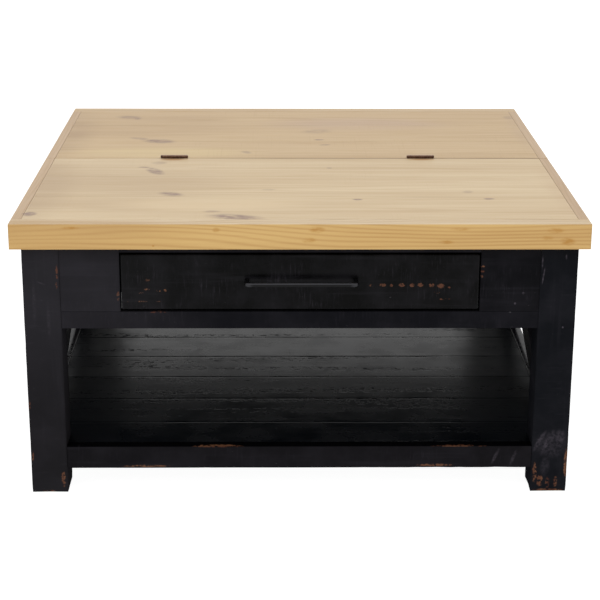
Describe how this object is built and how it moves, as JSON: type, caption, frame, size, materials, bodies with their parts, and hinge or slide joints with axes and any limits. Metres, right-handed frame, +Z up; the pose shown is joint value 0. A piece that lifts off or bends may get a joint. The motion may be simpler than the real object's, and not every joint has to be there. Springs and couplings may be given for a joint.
{
  "type": "flip-top coffee table",
  "caption": "Square farmhouse coffee table with a pine top hinged across the middle, black distressed base, front drawer, open plank shelf and X-braced sides.",
  "frame": {"origin": "floor level, under the middle of the whole table's bounding box with the drawer pull included", "axes": "+X along the front towards the right-hand end seen from the drawer side, +Y from the drawer front towards the back, +Z up"},
  "size_m": [0.914, 0.9243, 0.469],
  "materials": {
    "black_paint": "satin black paint, rubbed through to the wood at edges",
    "pine_top": "pale pine, low satin clear coat",
    "pine_edging": "golden pine, low satin clear coat",
    "bare_pine": "unfinished sawn pine",
    "hinge_steel": "rust-brown antiqued steel",
    "black_iron": "satin black"
  },
  "bodies": {
    "base": {"leg_front_left": "black_paint", "leg_front_right": "black_paint", "leg_back_left": "black_paint", "leg_back_right": "black_paint", "front_panel_left": "black_paint", "side_apron_left": "black_paint", "front_panel_right": "black_paint", "side_apron_right": "black_paint", "back_apron": "black_paint", "side_rail_left": "black_paint", "side_rail_right": "black_paint", "front_rail": "black_paint", "back_rail": "black_paint", "shelf_bearer": "black_paint", "shelf_plank_1": "black_paint", "shelf_plank_2": "black_paint", "shelf_plank_3": "black_paint", "shelf_plank_4": "black_paint", "shelf_plank_5": "black_paint", "shelf_plank_6": "black_paint", "shelf_plank_7": "black_paint", "shelf_plank_8": "black_paint", "side_brace_left_rising": "black_paint", "side_brace_left_falling": "black_paint", "side_brace_right_rising": "black_paint", "side_brace_right_falling": "black_paint", "drawer_rail": "black_paint", "drawer_top_rail": "black_paint", "well_divider": "black_paint", "well_floor": "black_paint", "top_plank_1": "pine_top", "top_plank_2": "pine_top", "top_plank_3": "pine_top", "top_edging_left": "pine_top", "top_edging_right": "pine_top", "top_edging_front": "pine_edging", "top_batten_left": "bare_pine", "top_batten_right": "bare_pine", "drawer_runner_left": "bare_pine", "drawer_runner_right": "bare_pine", "hinge_left_fixed_leaf": "hinge_steel", "hinge_left_pin": "hinge_steel", "hinge_right_fixed_leaf": "hinge_steel", "hinge_right_pin": "hinge_steel"},
    "lid": {"lid_plank_1": "pine_top", "lid_plank_2": "pine_top", "lid_plank_3": "pine_top", "lid_edging_left": "pine_top", "lid_edging_right": "pine_top", "lid_edging_back": "pine_edging", "lid_batten_left": "bare_pine", "lid_batten_right": "bare_pine", "hinge_left_lid_leaf": "hinge_steel", "hinge_right_lid_leaf": "hinge_steel"},
    "drawer": {"drawer_front": "black_paint", "drawer_side_left": "bare_pine", "drawer_side_right": "bare_pine", "drawer_back": "bare_pine", "drawer_bottom": "bare_pine", "drawer_pull": "black_iron"}
  },
  "joints": [
    {"name": "lid_hinge", "type": "hinge", "parent": "base", "child": "lid", "pos_m": [0, 0.005, 0.4661], "axis": [1, 0, 0], "range_deg": [0, 180]},
    {"name": "drawer_slide", "type": "slide", "parent": "base", "child": "drawer", "axis": [0, -1, 0], "range_m": [0, 0.3]}
  ]
}
